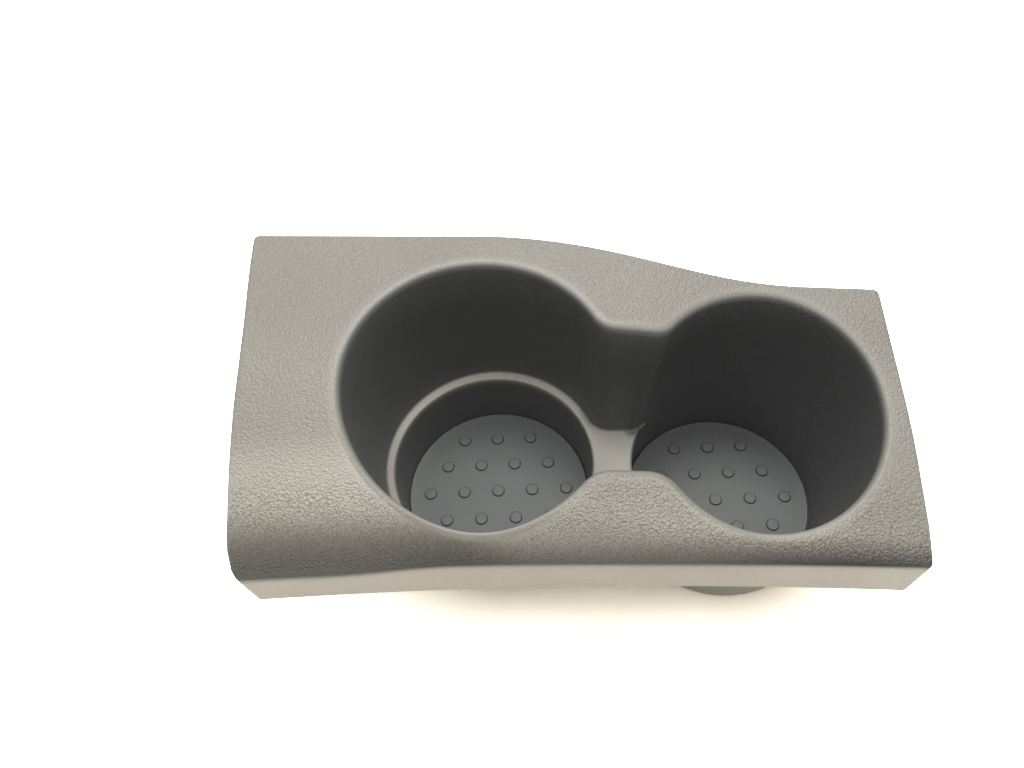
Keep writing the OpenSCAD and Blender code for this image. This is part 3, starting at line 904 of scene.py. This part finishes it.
def pip_tree(name):
    """Puts a pip on every point of the mesh it gets, joins the disc to them, and sets the material."""
    tree = bpy.data.node_groups.new(name, "GeometryNodeTree")
    sockets = tree.interface
    for key, kind in (("Geometry", "Geometry"), ("Disc", "Object"), ("Pip", "Object"), ("Material", "Material")):
        sockets.new_socket(key, in_out="INPUT", socket_type="NodeSocket" + kind)
    sockets.new_socket("Geometry", in_out="OUTPUT", socket_type="NodeSocketGeometry")
    N, L = tree.nodes, tree.links
    gin, gout = N.new("NodeGroupInput"), N.new("NodeGroupOutput")
    disc, pip = N.new("GeometryNodeObjectInfo"), N.new("GeometryNodeObjectInfo")
    put = N.new("GeometryNodeInstanceOnPoints")
    join = N.new("GeometryNodeJoinGeometry")
    real = N.new("GeometryNodeRealizeInstances")
    mat = N.new("GeometryNodeSetMaterial")
    L.new(gin.outputs["Disc"], disc.inputs["Object"])
    L.new(gin.outputs["Pip"], pip.inputs["Object"])
    L.new(gin.outputs["Geometry"], put.inputs["Points"])
    L.new(pip.outputs["Geometry"], put.inputs["Instance"])
    L.new(disc.outputs["Geometry"], join.inputs["Geometry"])
    L.new(put.outputs["Instances"], join.inputs["Geometry"])
    L.new(join.outputs["Geometry"], real.inputs["Geometry"])
    L.new(real.outputs["Geometry"], mat.inputs["Geometry"])
    L.new(gin.outputs["Material"], mat.inputs["Material"])
    L.new(mat.outputs["Geometry"], gout.inputs["Geometry"])
    return tree


def turned_profile(profile, n, name, ring_of):
    """A closed solid of revolution from (radius, height) pairs, both ends on the axis.
    ring_of(radius) gives the ring attribute: 1 on a ring of painted shade, -1 on a rim of painted highlight, 0
    elsewhere."""
    bm = bmesh.new()
    ring = bm.verts.layers.float.new("ring")
    rows = []
    for r, z in profile:
        rows.append([bm.verts.new(circle((0, 0), r * MM, z * MM, 2 * math.pi * i / n))
                     for i in range(n if r > 0 else 1)])
        for v in rows[-1]:
            v[ring] = ring_of(r)
    for a, b in zip(rows, rows[1:]):
        bridge(bm, a, b, n)
    return finish_object(bm, name, MAT_SHARP)


def plain_copy(ob, name):
    """The evaluated object as a plain mesh, at the origin, with no modifier."""
    bpy.context.view_layer.update()
    deps = bpy.context.evaluated_depsgraph_get()
    me = bpy.data.meshes.new_from_object(ob.evaluated_get(deps), depsgraph=deps)
    me.name = name
    out = bpy.data.objects.new(name, me)
    bpy.context.scene.collection.objects.link(out)
    bpy.data.objects.remove(ob)
    return out


def pip_places(step):
    """Nineteen places on an even triangular pitch, turned a little as in the photo."""
    places = []
    for row in range(-2, 3):
        k = 5 - abs(row)
        for i in range(k):
            x, y = (i - (k - 1) / 2) * step, row * step * math.sin(math.radians(60))
            places.append((x * math.cos(MAT_TURN) - y * math.sin(MAT_TURN),
                           x * math.sin(MAT_TURN) + y * math.cos(MAT_TURN), MAT_TOP * MM))
    return places


def build_mat(name, centre, z, look, material):
    # the rim band of the mat carries the painted highlight
    disc = turned_profile(MAT_PROFILE, 128, name + "_disc",
                          lambda r: -1.0 if MAT_RIM[0] <= r <= MAT_RIM[1] else 0.0)
    r, h = look.pip_radius / MM, look.pip_height / MM
    pip_profile = [(0, -0.4), (r + 0.3, -0.4), (r + 0.3, 0.02), (r + 0.05, 0.03), (r, 0.06),
                   (r - 0.1, h * 0.8), (r - 0.22, h * 0.95), (r - 0.45, h), (0, h)]
    # the ring of painted shade sits round each pip's foot
    pip = turned_profile(pip_profile, 32, name + "_pip",
                         lambda radius: 1.0 if r - 0.15 <= radius <= r + 0.1 else 0.0)
    points = bpy.data.meshes.new(name + "_points")
    points.from_pydata(pip_places(look.pip_pitch), [], [])
    host = bpy.data.objects.new(name + "_host", points)
    bpy.context.scene.collection.objects.link(host)
    tree = bpy.data.node_groups.get("mat_pips") or pip_tree("mat_pips")
    mod = host.modifiers.new("pips", "NODES")
    mod.node_group = tree
    ids = {s.name: s.identifier for s in tree.interface.items_tree if s.in_out == "INPUT"}
    mod[ids["Disc"]] = disc
    mod[ids["Pip"]] = pip
    mod[ids["Material"]] = material
    out = plain_copy(host, name)
    for helper in (disc, pip):
        bpy.data.objects.remove(helper)
    for v in out.data.vertices:
        v.co += Vector(placed((*centre, z)))
    return out


# Properties

class MouldingLook(bpy.types.PropertyGroup):
    grain: bpy.props.FloatProperty(
        name="Grain", description="Strength of the leather grain on the panel",
        default=0.8, min=0, max=1, subtype="FACTOR")
    panel_colour: bpy.props.FloatVectorProperty(
        name="Panel colour", description="Colour of the panel and the skirt",
        default=(0.243, 0.226, 0.191), subtype="COLOR", min=0, max=1)
    # a darker copy of the panel colour, painted shade on the walls inside the wells and on the hidden side
    well_shade_colour: bpy.props.FloatVectorProperty(
        name="Well colour", description="Colour inside the wells",
        default=(0.115, 0.117, 0.114), subtype="COLOR", min=0, max=1)


class MatLook(bpy.types.PropertyGroup):
    mat_colour: bpy.props.FloatVectorProperty(
        name="Mat colour", description="Colour of the rubber mats",
        default=(0.112, 0.118, 0.113), subtype="COLOR", min=0, max=1)
    pip_pitch: bpy.props.FloatProperty(
        name="Pip pitch", description="Distance between the pips",
        default=0.01345, unit="LENGTH", precision=5)
    pip_radius: bpy.props.FloatProperty(
        name="Pip radius", description="Radius of a pip",
        default=0.00235, unit="LENGTH", precision=5)
    pip_height: bpy.props.FloatProperty(
        name="Pip height", description="Height of a pip above the mat",
        default=0.0006, unit="LENGTH", precision=5)


class StageLook(bpy.types.PropertyGroup):
    sky_top: bpy.props.FloatProperty(
        name="Sky", description="Strength of the soft light from above", default=1.9, min=0)
    sky_low: bpy.props.FloatProperty(
        name="Horizon", description="Strength of the even light from all round", default=0.1, min=0)
    sky_lean: bpy.props.FloatProperty(
        name="Sky lean", description="How far the brightest part of the sky leans to the back",
        default=math.radians(14), subtype="ANGLE")
    sky_width: bpy.props.FloatProperty(
        name="Sky width", description="Cosine at which the sky has faded to the horizon's strength",
        default=0.35, min=-1, max=0.95)
    key_power: bpy.props.FloatProperty(
        name="Key light", description="Power of the soft lamp above the back of the part",
        default=7.0, unit="POWER")
    # painted light: the table glows with it for all rays but the camera's
    table_light: bpy.props.FloatVectorProperty(
        name="Table light", description="Light that the table throws up at the part",
        default=(0.62, 0.56, 0.43), subtype="COLOR", min=0, max=4)
    floor_colour: bpy.props.FloatVectorProperty(
        name="Floor colour", description="Colour of the table in the part's own light",
        default=(0.86, 0.85, 0.83), subtype="COLOR", min=0, max=1)
    floor_seen: bpy.props.FloatVectorProperty(
        name="Floor as seen", description="Colour of the table for the camera, bright enough to come out white",
        default=(3.8, 3.6, 3.15), subtype="COLOR", min=0, max=4)
    # the painted contact shadow that the camera sees on the table close to the part
    floor_contact_shadow: bpy.props.FloatVectorProperty(
        name="Shaded table", description="Colour of the table that the camera sees close to the part",
        default=(0.7, 0.5, 0.3), subtype="COLOR", min=0, soft_max=4)


# Operators and panel

PHOTO_WIDTH = 1024
FOCAL_PIXELS = 850
CAMERA_PLACE = (-0.00301, -0.14842, 0.3172)
CAMERA_DEGREES = (32.4773, 3.6777, 0.3948)
LAMP_DISTANCE = 1.15
TABLE_HALF = 3.0


class CUPHOLDER_OT_moulding(bpy.types.Operator):
    """Builds the moulding with its lip, ledge, neck and wells"""
    bl_idname = "cupholder.moulding"
    bl_label = "Moulding"

    def execute(self, context):
        look = context.scene.moulding_look
        ob = finish_object(build_moulding(), "moulding", 40, grained_plastic(look))
        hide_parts("cup_holder")
        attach(ob, "root")
        return {"FINISHED"}


class CUPHOLDER_OT_mats(bpy.types.Operator):
    """Builds the two rubber mats with their raised pips"""
    bl_idname = "cupholder.mats"
    bl_label = "Mats"

    def execute(self, context):
        look = context.scene.mat_look
        rubber = mat_rubber(look)
        for name, node, centre, z in (("rubber_mat_left", "left_mat", (0, 0), FLOOR_LEFT_Z),
                                      ("rubber_mat_right", "right_mat", (PITCH, -RIGHT_FRONT), FLOOR_RIGHT_Z)):
            ob = build_mat(name, centre, z, look, rubber)
            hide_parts(node)
            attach(ob, "root")
        return {"FINISHED"}


class CUPHOLDER_OT_stage(bpy.types.Operator):
    """Sets up the table, the soft lights and the camera"""
    bl_idname = "cupholder.stage"
    bl_label = "Stage"

    def execute(self, context):
        scene = context.scene
        look = scene.stage_look
        me = bpy.data.meshes.new("table")
        s = TABLE_HALF
        me.from_pydata([(-s, -s, 0), (s, -s, 0), (s, s, 0), (-s, s, 0)], [], [(0, 1, 2, 3)])
        table = bpy.data.objects.new("table", me)
        scene.collection.objects.link(table)
        me.materials.append(table_top(look))
        scene.world = soft_sky(look)
        lamp = bpy.data.lights.new("key", "AREA")
        lamp.shape = "RECTANGLE"
        lamp.size, lamp.size_y = 0.45, 0.35
        lamp.energy = look.key_power
        light = bpy.data.objects.new("key", lamp)
        light.location = (0.1, LAMP_DISTANCE * math.sin(look.sky_lean), LAMP_DISTANCE * math.cos(look.sky_lean))
        light.rotation_euler = (Vector((0, 0, 0.05)) - light.location).to_track_quat("-Z", "Y").to_euler()
        scene.collection.objects.link(light)
        cam = bpy.data.cameras.new("camera")
        cam.sensor_width = 36.0
        cam.lens = cam.sensor_width * FOCAL_PIXELS / PHOTO_WIDTH
        cam.clip_start = 0.01
        ob = bpy.data.objects.new("camera", cam)
        ob.location = CAMERA_PLACE
        ob.rotation_euler = tuple(math.radians(a) for a in CAMERA_DEGREES)
        scene.collection.objects.link(ob)
        scene.camera = ob
        scene.view_settings.view_transform = "Standard"
        return {"FINISHED"}


class CUPHOLDER_PT_panel(bpy.types.Panel):
    bl_label = "Cup holder"
    bl_idname = "CUPHOLDER_PT_panel"
    bl_space_type = "VIEW_3D"
    bl_region_type = "UI"
    bl_category = "Cup holder"

    def draw(self, context):
        for part in ("moulding", "mats", "stage"):
            look = getattr(context.scene, LOOKS[part][0])
            box = self.layout.box()
            for key in look.bl_rna.properties.keys():
                if key not in ("rna_type", "name"):
                    box.prop(look, key)
            box.operator("cupholder." + part)


LOOKS = {"moulding": ("moulding_look", MouldingLook), "mats": ("mat_look", MatLook),
         "stage": ("stage_look", StageLook)}
CLASSES = (MouldingLook, MatLook, StageLook, CUPHOLDER_OT_moulding, CUPHOLDER_OT_mats,
           CUPHOLDER_OT_stage, CUPHOLDER_PT_panel)


def register():
    for c in CLASSES:
        bpy.utils.register_class(c)
    for name, kind in LOOKS.values():
        setattr(bpy.types.Scene, name, bpy.props.PointerProperty(type=kind))


def unregister():
    for name, _ in LOOKS.values():
        delattr(bpy.types.Scene, name)
    for c in reversed(CLASSES):
        bpy.utils.unregister_class(c)


def main():
    register()
    bpy.ops.cupholder.moulding()
    bpy.ops.cupholder.mats()
    bpy.ops.cupholder.stage()


if __name__ == "__main__":
    main()
